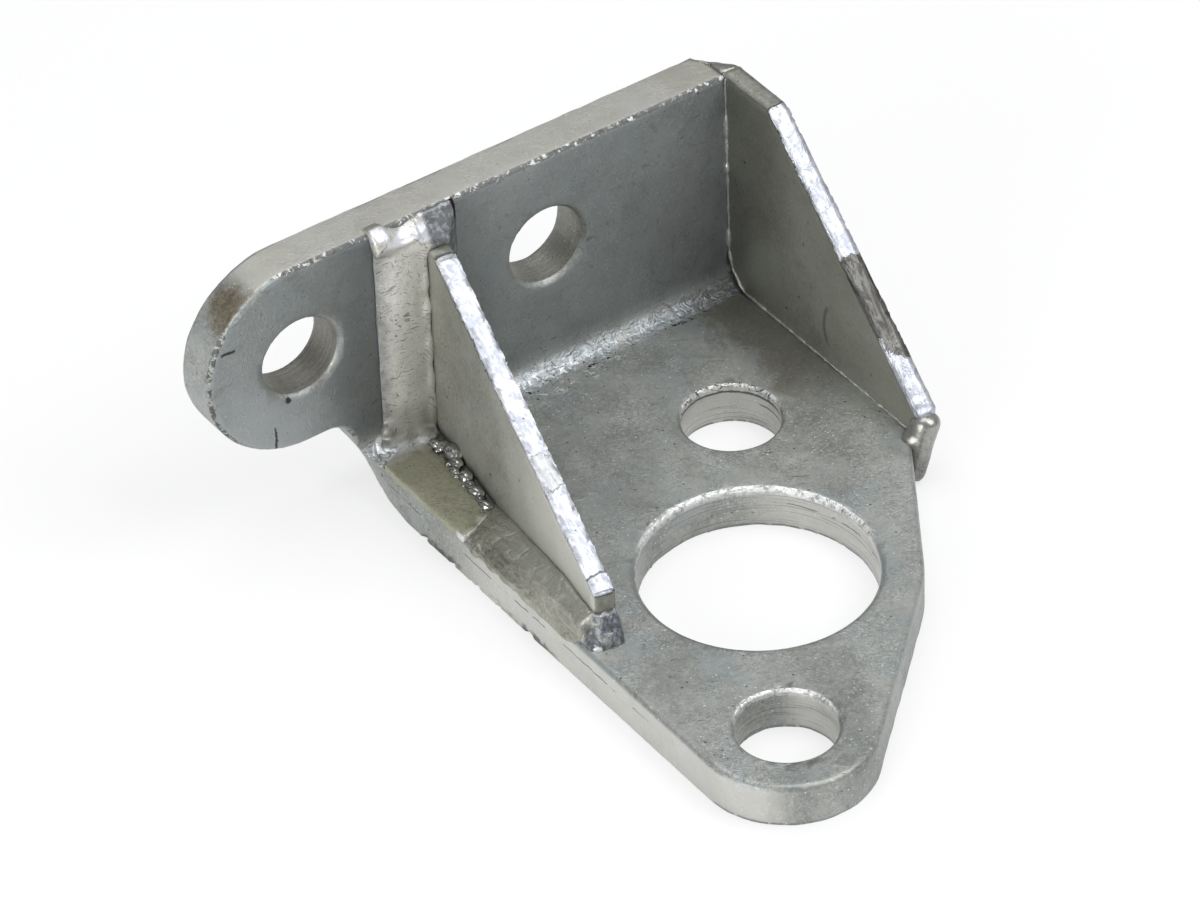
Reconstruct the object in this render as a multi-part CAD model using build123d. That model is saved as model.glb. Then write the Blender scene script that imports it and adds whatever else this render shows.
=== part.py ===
from build123d import *
import math
import os

# Galvanised corner bracket: one bent plate, two gussets welded to it, and the beads that hold them.
# Millimetres, Z up. The origin is the centre of the large bore, on the underside of the base.

# ---------------------------------------------------------------- driving dimensions
plate_t = 10.0              # base and wall plate thickness
bend_r = 6.0                # inside radius of the bend
height = 65.3               # underside of the base to the top of the wall
wall_y = 81.7               # bore centre to the front face of the wall
left_x = 44.0               # bore centre to the long left edge of the base
right_x = 52.0              # bore centre to the right edge of base and wall

bore_d = 51.0               # large bore in the base
lobe_r = 34.6               # outline radius round the large bore
bolt_d = 21.5               # two bolt holes in the base, M20 clearance
bolt_reach = 50.0           # bore centre to each bolt hole
bolt_line_deg = 29.5        # bolt line, measured from the Y axis
nose_wall = 8.6             # plate left round the front bolt hole
right_edge_y = 16.3         # where the slanting front edge meets the right edge

wall_hole_d = 18.5          # two holes in the wall, M16 clearance
wall_hole_z = 41.5          # their height above the underside
wall_hole_x = 5.1           # inner wall hole, from the bore centre
wall_pitch = 62.6           # spacing of the two wall holes
ear_gap = 2.8               # start of the wall's flat to the ear's underside; its end is a full round

relief_r = 6.0              # round between the ear and the bend
edge_swell = 2.2            # how far the bend pushes the inside of its free edge out
edge_draw = 3.0             # how far it draws the outside of that edge in
edge_early = 1.4            # how much of that has come where the bend starts
edge_lead = 14.0            # how far ahead of the bend it begins

rollover = 1.4              # rounded top edge left by blanking
bolt_round = 1.2            # rounded mouth of the bolt holes, left by the punch
bore_round = 1.7            # rounded mouth of the large bore
wall_break = 1.0            # broken edge round the wall holes

gusset_t = 5.1              # both gussets
long_x = 27.0               # bore centre to the long gusset's outer face, at the wall
long_splay_deg = 9.24       # how far the long gusset turns outwards
long_height = 47.8          # long gusset above the base
long_flat = 8.0             # level part of its top
long_reach = 80.6           # wall to toe, along the gusset
long_toe = 11.2             # height of its toe
short_flat = 15.6           # level part of the short gusset's top
short_reach = 67.9          # wall to its toe
short_toe = 6.1             # height of its toe
lap = 1.5                   # how far the short gusset laps the plate's edge

prep_w = 2.0                # weld preparation on the plate's right edge, across
prep_d = 4.5                # and through the thickness
wall_leg = 12.6             # long gusset's outer wall bead, width on the wall
side_leg = 3.6              # and on the gusset
wall_crown = 1.0            # its bulge
inner_leg = 5.0             # the same bead returned on the inner side, width on the wall
inner_run = 20.0            # and its length, down from the top of the wall
crest_over = 1.0            # how far the bead's crest stands over the top of the wall
crest_lap = 3.2             # how far it laps over the top
crest_run = 11.0            # the length of that crest
base_leg = 7.6              # outer base bead, height up the gusset
base_start = 32.0           # where it starts, from the wall
base_nose = 9.5             # length over which it widens to the edge
edge_land = 0.4             # base left bare outside it
base_crown = 1.1            # its bulge
toe_leg = 4.7               # the same bead returned round the toe, width on the base
lump_r = 3.3                # lump that ends the corner bead at the short gusset's toe
lump_rise = 5.4             # how far it climbs the toe
lump_lean = 2.6             # how far it leans back under the base's corner

# ---------------------------------------------------------------- derived
top_z = height
base_z = plate_t
bend_y = wall_y - bend_r
axis_z = plate_t + bend_r
outer_r = bend_r + plate_t
splay = math.radians(long_splay_deg)
along = Vector(-math.sin(splay), -math.cos(splay), 0)
across = Vector(math.cos(splay), -math.sin(splay), 0)
bolt_dx = bolt_reach * math.sin(math.radians(bolt_line_deg))
bolt_dy = bolt_reach * math.cos(math.radians(bolt_line_deg))
nose_r = bolt_d / 2 + nose_wall
nose_x = nose_r - left_x
ear_low = axis_z + ear_gap
ear_drop = height - ear_low
ear_r = ear_drop / 2
ear_z = height - ear_r
ear_x = wall_hole_x - wall_pitch


def arc_points(cx, cy, r, start, end, steps=2):
    """Points along an arc, given in degrees."""
    angles = [math.radians(start + (end - start) * i / steps) for i in range(steps + 1)]
    return [(cx + r * math.cos(a), cy + r * math.sin(a)) for a in angles]


def outer_tangent(c1, r1, c2, r2):
    """Angle of the common normal of two circles, on their right going from c1 to c2."""
    dx = c2[0] - c1[0]
    dy = c2[1] - c1[1]
    return math.degrees(math.atan2(dy, dx) - math.acos((r1 - r2) / math.hypot(dx, dy)))


# ---------------------------------------------------------------- bent plate
def base_outline():
    """Base outline: straight left edge, nose, slanting front, lobe, slanting right side."""
    nose = (nose_x, -bolt_dy)
    join = outer_tangent(nose, nose_r, (0, 0), lobe_r)
    away = math.hypot(right_x, right_edge_y)
    leave = math.degrees(math.atan2(right_edge_y, right_x) - math.acos(lobe_r / away))
    nose_arc = arc_points(nose[0], nose[1], nose_r, -180, join)
    lobe_arc = arc_points(0, 0, lobe_r, join, leave)
    edges = [
        Line((-left_x, bend_y), nose_arc[0]),
        ThreePointArc(*nose_arc),
        Line(nose_arc[-1], lobe_arc[0]),
        ThreePointArc(*lobe_arc),
        Line(lobe_arc[-1], (right_x, right_edge_y)),
        Line((right_x, right_edge_y), (right_x, bend_y)),
        Line((right_x, bend_y), (-left_x, bend_y)),
    ]
    return make_face(Wire(edges))


def hole_rims(solid, diameter, axis, level):
    """Mouths of the holes of one diameter that open at a level on an axis."""
    return [
        e for e in solid.edges().filter_by(GeomType.CIRCLE)
        if abs(e.radius - diameter / 2) < 0.01 and abs(e.center().dot(axis) - level) < 0.01
    ]


def base_slab():
    slab = extrude(base_outline(), plate_t)
    top = [
        e for e in slab.edges()
        if abs(e.center().Z - plate_t) < 0.01
        and e.center().Y < bend_y - 0.01
        and e.center().X < right_x - 0.01
    ]
    slab = fillet(top, rollover)
    slab -= Cylinder(bore_d / 2, 3 * plate_t)
    for side in (-1, 1):
        slab -= Pos(side * bolt_dx, side * bolt_dy, 0) * Cylinder(bolt_d / 2, 3 * plate_t)
    up = Vector(0, 0, 1)
    slab = fillet(hole_rims(slab, bore_d, up, plate_t), bore_round)
    return fillet(hole_rims(slab, bolt_d, up, plate_t), bolt_round)


def inner_edge(s):
    """Free edge on the inside of the plate, by developed distance from the start of the bend."""
    bend_len = bend_r * math.pi / 2
    round_s = bend_len + ear_gap - relief_r
    swell = edge_swell * math.sin(math.pi / 2 * min(1.0, max(0.0, s / round_s))) ** 2
    into = min(1.0, max(0.0, (s - round_s) / relief_r))
    return -left_x - swell - relief_r * (1 - math.sqrt(1 - into ** 2))


def wall_slab():
    """Upright plate with the ear, its full-round end and the relief under it."""
    relief_x = -left_x - edge_swell - relief_r
    relief_z = ear_low - relief_r
    begin = math.degrees(math.asin(max(0.0, axis_z - relief_z) / relief_r))
    relief = [
        (x, wall_y, z) for x, z in arc_points(relief_x, relief_z, relief_r, begin, 90)
    ]
    end = [(x, wall_y, z) for x, z in arc_points(ear_x, ear_z, ear_r, 90, 270)]
    foot = (relief[0][0], wall_y, axis_z)
    edges = [
        ThreePointArc(*relief),
        Line(relief[2], end[2]),
        ThreePointArc(*end),
        Line(end[0], (right_x, wall_y, top_z)),
        Line((right_x, wall_y, top_z), (right_x, wall_y, axis_z)),
        Line((right_x, wall_y, axis_z), foot),
    ]
    if relief[0][2] - axis_z > 0.001:
        edges.append(Line(foot, relief[0]))
    slab = extrude(make_face(Wire(edges)), plate_t, dir=(0, 1, 0))
    rounded = [
        e for e in slab.edges()
        if abs(e.center().Y - wall_y) < 0.01
        and e.center().Z > axis_z + 0.01
        and e.center().X < right_x - 0.01
    ]
    slab = fillet(rounded, rollover)
    for x in (wall_hole_x, ear_x):
        slab -= Pos(x, wall_y, wall_hole_z) * Rot(90, 0, 0) * Cylinder(wall_hole_d / 2, 3 * plate_t)
    return chamfer(hole_rims(slab, wall_hole_d, Vector(0, 1, 0), wall_y), wall_break)


def bend_piece():
    """The bend as a plain quarter turn, wide enough for its free edge to be cut."""
    far = inner_edge(0) - 3 * relief_r
    section = make_face(Polyline(
        (far, bend_y, 0), (right_x, bend_y, 0), (right_x, bend_y, plate_t), (far, bend_y, plate_t),
        close=True,
    ))
    return revolve(section, Axis((0, bend_y, axis_z), (1, 0, 0)), 90)


def edge_drawn(s):
    """How far the outside of the free edge is drawn in: easily on the flat, then through the bend."""
    if s < 0:
        return edge_early * (1 + s / edge_lead) ** 2
    begin = math.asin(math.sqrt(edge_early / edge_draw))
    return edge_draw * math.sin(begin + (math.pi - begin) * s / (bend_r * math.pi / 2)) ** 2


def free_edge_cut():
    """What the relief and the bending take off the free edge, swollen inside and drawn in outside."""
    bend_len = bend_r * math.pi / 2
    steps = 9
    lead_steps = 4
    margin = bend_r / 4
    far = inner_edge(0) - 4 * relief_r
    cuts = []
    for i in range(-lead_steps, steps + 1):
        s = edge_lead * i / lead_steps if i < 0 else bend_len * i / steps
        angle = max(0.0, s) / bend_r
        inside = inner_edge(s)
        outside = inside + (inner_edge(0) - inside) * math.sin(2 * angle) ** 2 + edge_drawn(s)
        slope = (outside - inside) / plate_t
        ring = []
        for x, r in (
            (far, bend_r - margin),
            (inside - slope * margin, bend_r - margin),
            (outside + slope * margin, outer_r + margin),
            (far, outer_r + margin),
        ):
            y = bend_y + min(0.0, s) + r * math.sin(angle)
            ring.append((x, y, axis_z - r * math.cos(angle)))
        cuts.append(make_face(Polyline(*ring, close=True)))
    return loft(cuts, ruled=True)


def follow_bend(points, front_y):
    """Solid with a section of (x, depth below the inner surface) run along base, bend and wall."""
    start = [(x, bend_y, base_z - depth) for x, depth in points]
    finish = [(x, wall_y + depth, axis_z) for x, depth in points]
    upright = make_face(Polyline(*start, close=True))
    level = make_face(Polyline(*finish, close=True))
    run = extrude(upright, bend_y - front_y, dir=(0, -1, 0))
    turn = revolve(upright, Axis((0, bend_y, axis_z), (1, 0, 0)), 90)
    rise = extrude(level, top_z - axis_z, dir=(0, 0, 1))
    return run + turn + rise


def bent_plate():
    """The one-piece plate, its right edge prepared for welding on the outside of the bend."""
    prep = follow_bend(
        [(right_x - prep_w, plate_t), (right_x, plate_t), (right_x, plate_t - prep_d)],
        right_edge_y,
    )
    return base_slab() + bend_piece() + wall_slab() - prep - free_edge_cut()


# ---------------------------------------------------------------- gussets
def gusset_frame(t, z, side=0.0):
    """Point on the long gusset: along it from the wall, above the base, in from its outer face."""
    foot = Vector(-long_x, wall_y, base_z) + along * t + across * side
    return (foot.X, foot.Y, foot.Z + z)


def long_gusset(plate):
    """Splayed gusset, its back edge and lower corner cut to fit the wall and the bend."""
    outline = [
        (-gusset_t, 0),
        (long_reach, 0),
        (long_reach, long_toe),
        (long_flat, long_height),
        (-gusset_t, long_height),
    ]
    face = make_face(Polyline(*[gusset_frame(t, z) for t, z in outline], close=True))
    return largest(extrude(face, gusset_t, dir=across) - plate)


def largest(shape):
    """The biggest solid of a shape, without the slivers a cut leaves behind."""
    return max(shape.solids(), key=lambda s: s.volume)


def short_gusset():
    """Square gusset on the right, lapping the edge of the plate all round the bend."""
    x = right_x
    low = base_z - lap
    back = wall_y + lap
    toe_y = wall_y - short_reach
    r = bend_r + lap
    turn = [(x, y, z) for y, z in arc_points(bend_y, axis_z, r, -90, 0)]
    path = [
        (x, back, top_z),
        (x, wall_y - short_flat, top_z),
        (x, toe_y, base_z + short_toe),
        (x, toe_y, low),
        turn[0],
    ]
    edges = [
        *Polyline(*path).edges(),
        ThreePointArc(*turn),
        Line(turn[2], path[0]),
    ]
    return extrude(make_face(Wire(edges)), gusset_t, dir=(1, 0, 0))


# ---------------------------------------------------------------- weld beads
def wall_weld(plate, gusset):
    """Bead down the outer side of the long gusset, over its top and a little down the inner side."""
    corner = Vector(*gusset_frame(0, 0))
    outer_foot = Vector(-long_x - wall_leg, wall_y, base_z)
    outer_toe = Vector(*gusset_frame(side_leg, 0))
    chord = outer_toe - outer_foot
    bulge = Vector(chord.Y, -chord.X, 0).normalized() * wall_crown
    middle = (outer_foot + outer_toe) / 2 + bulge
    deep = corner + Vector(gusset_t, gusset_t, 0) / 2
    side = make_face(Wire([
        Line(outer_foot, Vector(outer_foot.X, deep.Y, base_z)),
        Line(Vector(outer_foot.X, deep.Y, base_z), deep),
        Line(deep, outer_toe + across * (gusset_t / 2)),
        Line(outer_toe + across * (gusset_t / 2), outer_toe),
        ThreePointArc(outer_toe, middle, outer_foot),
    ]))
    inner_toe = Vector(*gusset_frame(side_leg, 0, gusset_t))
    inner_foot = Vector(inner_toe.X + inner_leg, wall_y, base_z)
    back = Vector(0, gusset_t, 0)
    wrap = make_face(Polyline(
        outer_toe + across * (gusset_t / 2), inner_toe, inner_foot, inner_foot + back, deep + back,
        close=True,
    ))
    bead = extrude(side, top_z - base_z, dir=(0, 0, 1))
    turned = extrude(wrap, inner_run, dir=(0, 0, 1))
    bead += Pos(0, 0, top_z - inner_run - base_z) * turned
    crown_z = base_z + long_height + side_leg / 2
    slant = make_face(Polyline(
        (-left_x - ear_drop, wall_y, top_z),
        (-left_x - ear_drop, wall_y - side_leg, crown_z),
        (-left_x - ear_drop, wall_y - 3 * side_leg, crown_z - (top_z - crown_z)),
        (-left_x - ear_drop, wall_y - 3 * side_leg, 2 * top_z),
        (-left_x - ear_drop, wall_y, 2 * top_z),
        close=True,
    ))
    bead -= extrude(slant, 2 * ear_drop, dir=(1, 0, 0))
    crest = make_face(Wire([
        Line((outer_foot.X, wall_y - side_leg / 2, crown_z), (outer_foot.X, wall_y, top_z)),
        Line((outer_foot.X, wall_y, top_z), (outer_foot.X, wall_y + crest_lap, top_z)),
        ThreePointArc(
            (outer_foot.X, wall_y + crest_lap, top_z),
            (outer_foot.X, wall_y + crest_lap / 3, top_z + crest_over),
            (outer_foot.X, wall_y - side_leg / 2, crown_z),
        ),
    ]))
    bead += extrude(crest, crest_run, dir=(1, 0, 0))
    return largest(bead - plate - gusset)


def base_weld(plate, gusset):
    """Bead between the long gusset's outer face and the left edge, returned round the toe."""
    skin = rollover
    stations = [
        (base_start, 0.12, 0.55),
        (base_start + base_nose * 0.4, 0.5, 0.85),
        (base_start + base_nose, 1, 1),
        (long_reach, 1, 1),
    ]
    sections = []
    for t, wide, tall in stations:
        outer_x = gusset_frame(t, 0)[0]
        width = wide * (outer_x + left_x - edge_land) / across.X
        leg = base_leg * tall
        low = Vector(*gusset_frame(t, -skin, -width))
        foot = Vector(*gusset_frame(t, 0, -width))
        head = Vector(*gusset_frame(t, leg))
        out = across * (base_crown * wide)
        swell = (foot + head) / 2 - out + Vector(0, 0, base_crown * wide)
        deep_head = head + across * (gusset_t / 2)
        deep_low = deep_head - Vector(0, 0, leg + skin)
        sections.append(make_face(Polyline(low, foot, swell, head, deep_head, deep_low, close=True)))
    bead = loft(sections, ruled=True)
    toe = [
        gusset_frame(long_reach - gusset_t, 0, -edge_land),
        gusset_frame(long_reach + toe_leg, 0, -edge_land),
        gusset_frame(long_reach, base_leg, -edge_land),
        gusset_frame(long_reach - gusset_t, base_leg, -edge_land),
    ]
    bead += extrude(make_face(Polyline(*toe, close=True)), gusset_t + edge_land, dir=across)
    return largest(bead - plate - gusset)


def corner_weld(plate, gusset):
    """Bead outside the open corner of the short gusset, with the lump at its toe."""
    section = [
        (right_x, lap),
        (right_x + gusset_t, lap),
        (right_x - prep_w, plate_t),
        (right_x, plate_t - prep_d),
    ]
    bead = follow_bend(section, right_edge_y)
    toe_y = wall_y - short_reach
    top = Vector(right_x + gusset_t / 2 - lump_lean / 4, toe_y, base_z + lump_rise - lump_r)
    low = top - Vector(lump_lean, lump_lean / 2, top.Z - lump_r)
    rod = low - top
    lump = Cylinder(lump_r, rod.length + 2 * lump_r, align=(Align.CENTER, Align.CENTER, Align.MIN))
    lump = chamfer(lump.edges().filter_by(GeomType.CIRCLE), lump_r / 2)
    lump = Plane(origin=top - rod.normalized() * lump_r, z_dir=rod) * lump
    sunk = (Align.CENTER, Align.CENTER, Align.MAX)
    lump -= Pos(low.X, low.Y, 0) * Box(6 * lump_r, 6 * lump_r, 2 * lump_r, align=sunk)
    return largest(bead + lump - plate - gusset)


os.makedirs("parts", exist_ok=True)
plate_piece = bent_plate()
long_piece = long_gusset(plate_piece)
short_piece = short_gusset()
pieces = {
    "bent_plate": plate_piece,
    "long_gusset": long_piece,
    "short_gusset": short_piece,
    "long_gusset_wall_weld": wall_weld(plate_piece, long_piece),
    "long_gusset_base_weld": base_weld(plate_piece, long_piece),
    "short_gusset_weld": corner_weld(plate_piece, short_piece),
}
for name, piece in pieces.items():
    piece = largest(piece)
    export_step(piece, "parts/" + name + ".step")
    box = piece.bounding_box()
    print(name, round(piece.volume), len(piece.faces()), piece.is_valid, box.min, box.max)
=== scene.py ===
# %% [markdown]
# # A galvanised corner bracket
#
# The real bracket is one thick plate, bent to a right angle, with two thin gussets welded to it. The whole
# thing was then dipped in molten zinc. Its shape comes from CAD, so this lesson is about what CAD leaves
# out: broken edges, weld beads, spatter, and a zinc skin that is never the same grey twice.
#
# The frame brings in the CAD model in metres, at its real place. Nothing here moves it. Pieces are added
# over it, and those that take the place of a CAD solid say which one.

# %% Start from the CAD frame
import math

import bmesh
import bpy
from mathutils import Matrix, Vector, noise


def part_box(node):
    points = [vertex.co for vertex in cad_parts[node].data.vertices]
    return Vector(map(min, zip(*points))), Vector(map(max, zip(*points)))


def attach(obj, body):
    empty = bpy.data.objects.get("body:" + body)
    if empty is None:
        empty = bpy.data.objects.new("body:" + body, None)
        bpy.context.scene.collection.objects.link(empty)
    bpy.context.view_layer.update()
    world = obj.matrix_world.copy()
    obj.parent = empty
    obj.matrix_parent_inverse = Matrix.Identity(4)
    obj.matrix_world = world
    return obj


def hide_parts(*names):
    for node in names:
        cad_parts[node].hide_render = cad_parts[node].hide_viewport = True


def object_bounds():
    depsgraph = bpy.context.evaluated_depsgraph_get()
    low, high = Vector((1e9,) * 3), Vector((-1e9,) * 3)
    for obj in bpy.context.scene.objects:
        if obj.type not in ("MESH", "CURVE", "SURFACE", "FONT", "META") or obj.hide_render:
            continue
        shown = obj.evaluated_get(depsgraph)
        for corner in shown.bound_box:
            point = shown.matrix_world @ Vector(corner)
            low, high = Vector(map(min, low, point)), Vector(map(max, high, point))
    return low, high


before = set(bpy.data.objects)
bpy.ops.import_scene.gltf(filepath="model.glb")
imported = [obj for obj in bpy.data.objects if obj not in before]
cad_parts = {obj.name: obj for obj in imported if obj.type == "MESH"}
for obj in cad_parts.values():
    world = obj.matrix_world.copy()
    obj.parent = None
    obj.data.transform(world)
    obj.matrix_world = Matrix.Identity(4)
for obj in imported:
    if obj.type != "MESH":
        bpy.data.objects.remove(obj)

cad_low, cad_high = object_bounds()
mm = 0.001
noise.seed_set(7)  # else the lumps would fall elsewhere in each run
print("CAD box, mm:", [round(v / mm, 1) for v in cad_high - cad_low])

# %% [markdown]
# ## Sizes that the beads and finishes follow
#
# A pattern that follows the bend, or a stain at the end of the ear, has to know where they are. These sizes
# could be typed in wherever they are used, but then a change to one would miss the others. What the CAD
# boxes can give is read from them, and the rest, such as the holes, is named here once.

# %% Read the main sizes, in millimetres
plate_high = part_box("bent_plate")[1] / mm
long_low, long_high = (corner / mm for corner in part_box("long_gusset"))
short_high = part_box("short_gusset")[1] / mm

plate_t = long_low.z
top_z = plate_high.z
wall_y = plate_high.y - plate_t
bend_y = wall_y - 6.0
left_x = 44.0
bore_r, bolt_r, wall_hole_r = 25.5, 10.75, 9.25
bolt_angle = math.radians(29.5)
bolt_at = 50.0 * Vector((math.sin(bolt_angle), math.cos(bolt_angle), 0))
ear_hole = Vector((-57.5, wall_y, 41.5))
wall_hole = Vector((5.1, wall_y, 41.5))
splay = math.radians(9.24)
print("plate", round(plate_t, 2), "mm thick, wall face at y", round(wall_y, 2))

# %% [markdown]
# ## Shader maths that reads like maths
#
# A mask for a material is a sum of small parts, such as noise, distance and thresholds. Each part is a
# node, and wiring nodes one by one hides the idea. A small class that stands for one number on the surface
# lets Python's own + and * add the Math nodes, so a mask is written as the formula that it is.

# %% A number on a surface
class Amount:
    """A number that varies over a surface."""

    def __init__(self, finish, socket):
        self.finish, self.socket = finish, socket

    def math(self, operation, first, second=0.0):
        made = self.finish.node("Math", {"operation": operation}, {0: first, 1: second})
        return Amount(self.finish, made.outputs[0])

    def __add__(self, other): return self.math("ADD", self, other)
    def __radd__(self, other): return self.math("ADD", other, self)
    def __sub__(self, other): return self.math("SUBTRACT", self, other)
    def __rsub__(self, other): return self.math("SUBTRACT", other, self)
    def __mul__(self, other): return self.math("MULTIPLY", self, other)
    def __pow__(self, other): return self.math("POWER", self, other)
    def __abs__(self): return self.math("ABSOLUTE", self)
    def most(self, other): return self.math("MAXIMUM", self, other)


# %% The nodes of a finish
class Finish:
    """One material, with the tools to write its patterns in millimetres."""

    def __init__(self, name):
        self.material = bpy.data.materials.new(name)
        self.material.use_nodes = True
        self.tree = self.material.node_tree
        self.tree.nodes.clear()
        coords = self.node("TexCoord")
        in_mm = {0: coords.outputs["Object"], "Scale": 1 / mm}
        self.place = self.node("VectorMath", {"operation": "SCALE"}, in_mm).outputs[0]
        self.x, self.y, self.z = self.parts(self.place)
        self.nx, self.ny, self.nz = self.parts(coords.outputs["Normal"])

    def node(self, kind, settings=None, values=None):
        """Any shader node: its settings first, then the value or link of each socket."""
        made = self.tree.nodes.new("ShaderNode" + kind)
        for key, value in (settings or {}).items():
            setattr(made, key, value)
        for key, value in (values or {}).items():
            if isinstance(value, Amount):
                self.tree.links.new(value.socket, made.inputs[key])
            elif isinstance(value, bpy.types.NodeSocket):
                self.tree.links.new(value, made.inputs[key])
            else:
                made.inputs[key].default_value = value
        return made

    def parts(self, vector):
        split = self.node("SeparateXYZ", None, {0: vector})
        return [Amount(self, socket) for socket in split.outputs]

    def stretch(self, factors, turn=(0, 0, 0)):
        """The place on the piece, turned and then stretched, for streaks and scratches."""
        rotation = {"Vector": self.place, "Rotation": turn}
        turned = self.node("VectorRotate", {"rotation_type": "EULER_XYZ"}, rotation)
        settings = {"operation": "MULTIPLY"}
        return self.node("VectorMath", settings, {0: turned.outputs[0], 1: factors}).outputs[0]

    def noise(self, size, detail=3.0, rough=0.55, warp=0.0, place=None):
        """Cloudy noise, with lumps of about that size in millimetres; about 0 to 1."""
        made = self.node("TexNoise", None, {
            "Vector": place or self.place, "Scale": 1 / size, "Detail": detail,
            "Roughness": rough, "Distortion": warp})
        return Amount(self, made.outputs["Fac"])

    def cells(self, size, place=None):
        """Distance to the nearest of some scattered points, in cells of that size."""
        made = self.node("TexVoronoi", None, {"Vector": place or self.place, "Scale": 1 / size})
        return Amount(self, made.outputs["Distance"])

    def step(self, amount, start, end):
        """0 before start and 1 after end, with a smooth ramp between; start may be the larger."""
        made = self.node("MapRange", {"interpolation_type": "SMOOTHSTEP"}, {
            "Value": amount, "From Min": start, "From Max": end})
        return Amount(self, made.outputs[0])

    def mix(self, amount, first, second):
        """One colour turning into another where the amount is 1."""
        made = self.node("Mix", {"data_type": "RGBA"}, {0: amount, 6: first, 7: second})
        return made.outputs[2]

    def near(self, centre, reach, softness):
        """1 within reach of a point, falling to 0 over the softness, in millimetres."""
        apart = self.node("VectorMath", {"operation": "DISTANCE"}, {0: self.place, 1: centre})
        return self.step(Amount(self, apart.outputs["Value"]), reach + softness, reach)

    def off_axis(self, centre):
        """How far off an upright axis, in the plan."""
        across, along = self.x - centre[0], self.y - centre[1]
        return (across * across + along * along) ** 0.5

    def disc(self, centre, radius):
        """1 inside a circle about an upright axis."""
        return self.step(self.off_axis(centre), radius + 0.8, radius)

    def ring(self, centre, radius, width):
        """1 on a circle about an upright axis, falling to 0 that far off it."""
        return self.step(abs(self.off_axis(centre) - radius), width, width * 0.3)

    def in_wall_hole(self, centre):
        """1 on the wall of a hole that runs along Y."""
        off = ((self.x - centre.x) ** 2 + (self.z - centre.z) ** 2) ** 0.5
        return self.step(off, wall_hole_r + 1.35, wall_hole_r + 0.55) * self.step(abs(self.ny), 0.6, 0.3)

    def paint(self, amount, colour):
        """Lays a colour over what is there already, as thick as the amount."""
        self.colour = self.mix(amount, self.colour, colour)

    def finish(self, metal=0.7):
        """The shader itself, from the colour, roughness and relief (in millimetres) made so far."""
        bump = self.node("Bump", None, {"Strength": 1.0, "Distance": mm, "Height": self.relief})
        shader = self.node("BsdfPrincipled", None, {
            "Base Color": self.colour, "Roughness": self.roughness, "Metallic": metal,
            "Normal": bump.outputs[0]})
        self.node("OutputMaterial", None, {"Surface": shader.outputs[0]})
        return self.material


# %% Screen colours
def tone(red, green, front_shade):
    """A screen colour, 0 to 255, as the linear colour that a shader wants."""
    parts = [value / 255 for value in (red, green, front_shade)]
    return (*[p / 12.92 if p <= 0.04045 else ((p + 0.055) / 1.055) ** 2.4 for p in parts], 1.0)


# %% [markdown]
# ## The zinc skin
#
# Hot-dip zinc weathers to a matt grey that clouds over centimetres, is grainy over a millimetre, and is
# pricked with ash pits and fine scratches. One flat grey would look like paint. The skin is made once, as a
# function, so that plate, gussets and beads share one metal and differ only in their own marks.

# %% Make the shared zinc
def zinc(finish, light, dark):
    """Gives a finish the skin that every piece shares, before its own marks."""
    cloud = finish.noise(24, 4, 0.62, 0.4)
    patch = finish.noise(6.5, 5, 0.7, 0.5)
    grain = finish.noise(0.8, 3, 0.7)
    finish.colour = finish.mix(finish.step(cloud * 0.6 + patch * 0.4, 0.34, 0.66), dark, light)
    finish.paint(finish.step(grain, 0.35, 0.75) * 0.30, tone(204, 205, 200))
    worms = abs(finish.noise(1.7, 2, 0.6, 1.8) - 0.5)
    worms = finish.step(worms, 0.03, 0.01) * finish.step(patch, 0.46, 0.6)
    finish.paint(worms * 0.4, tone(96, 98, 94))
    smear = finish.noise(1, 3, 0.6, 0.8, finish.stretch((0.10, 0.28, 0.2), (0.1, 0.2, 0.5)))
    finish.paint(finish.step(smear, 0.6, 0.72) * 0.3, tone(112, 113, 108))
    flecks = finish.step(finish.cells(2.6, place=finish.stretch((1, 1.4, 1), (0, 0, 1.0))), 0.10, 0.05)
    flecks = flecks * finish.step(finish.noise(9, 2), 0.52, 0.6)
    finish.paint(flecks * 0.6, tone(228, 230, 230))
    pits = finish.step(finish.cells(2.4), 0.13, 0.06) * finish.step(finish.noise(7, 2), 0.46, 0.56)
    finish.paint(pits * 0.8, tone(48, 48, 46))
    scratch_place = finish.stretch((0.09, 1.6, 0.5), (0.3, 0.4, 0.6))
    scratch = finish.step(finish.noise(1, 2, 0.5, 0.2, scratch_place), 0.69, 0.74)
    finish.paint(scratch * 0.5, tone(74, 76, 76))
    finish.roughness = 0.36 + patch * 0.16 + grain * 0.10
    finish.relief = patch * 0.07 + grain * 0.035 + flecks * 0.05 - pits * 0.10 - scratch * 0.03


# %% [markdown]
# ## The plate's own marks
#
# Marks tell where things happened. The base of this plate has clouded and wrinkled under its zinc, and turned
# brown beside the short gusset. One big noise could stand for all of it, but each kind of mark has its own
# size, so each gets its own mask and is laid over the last like paint.

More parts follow.
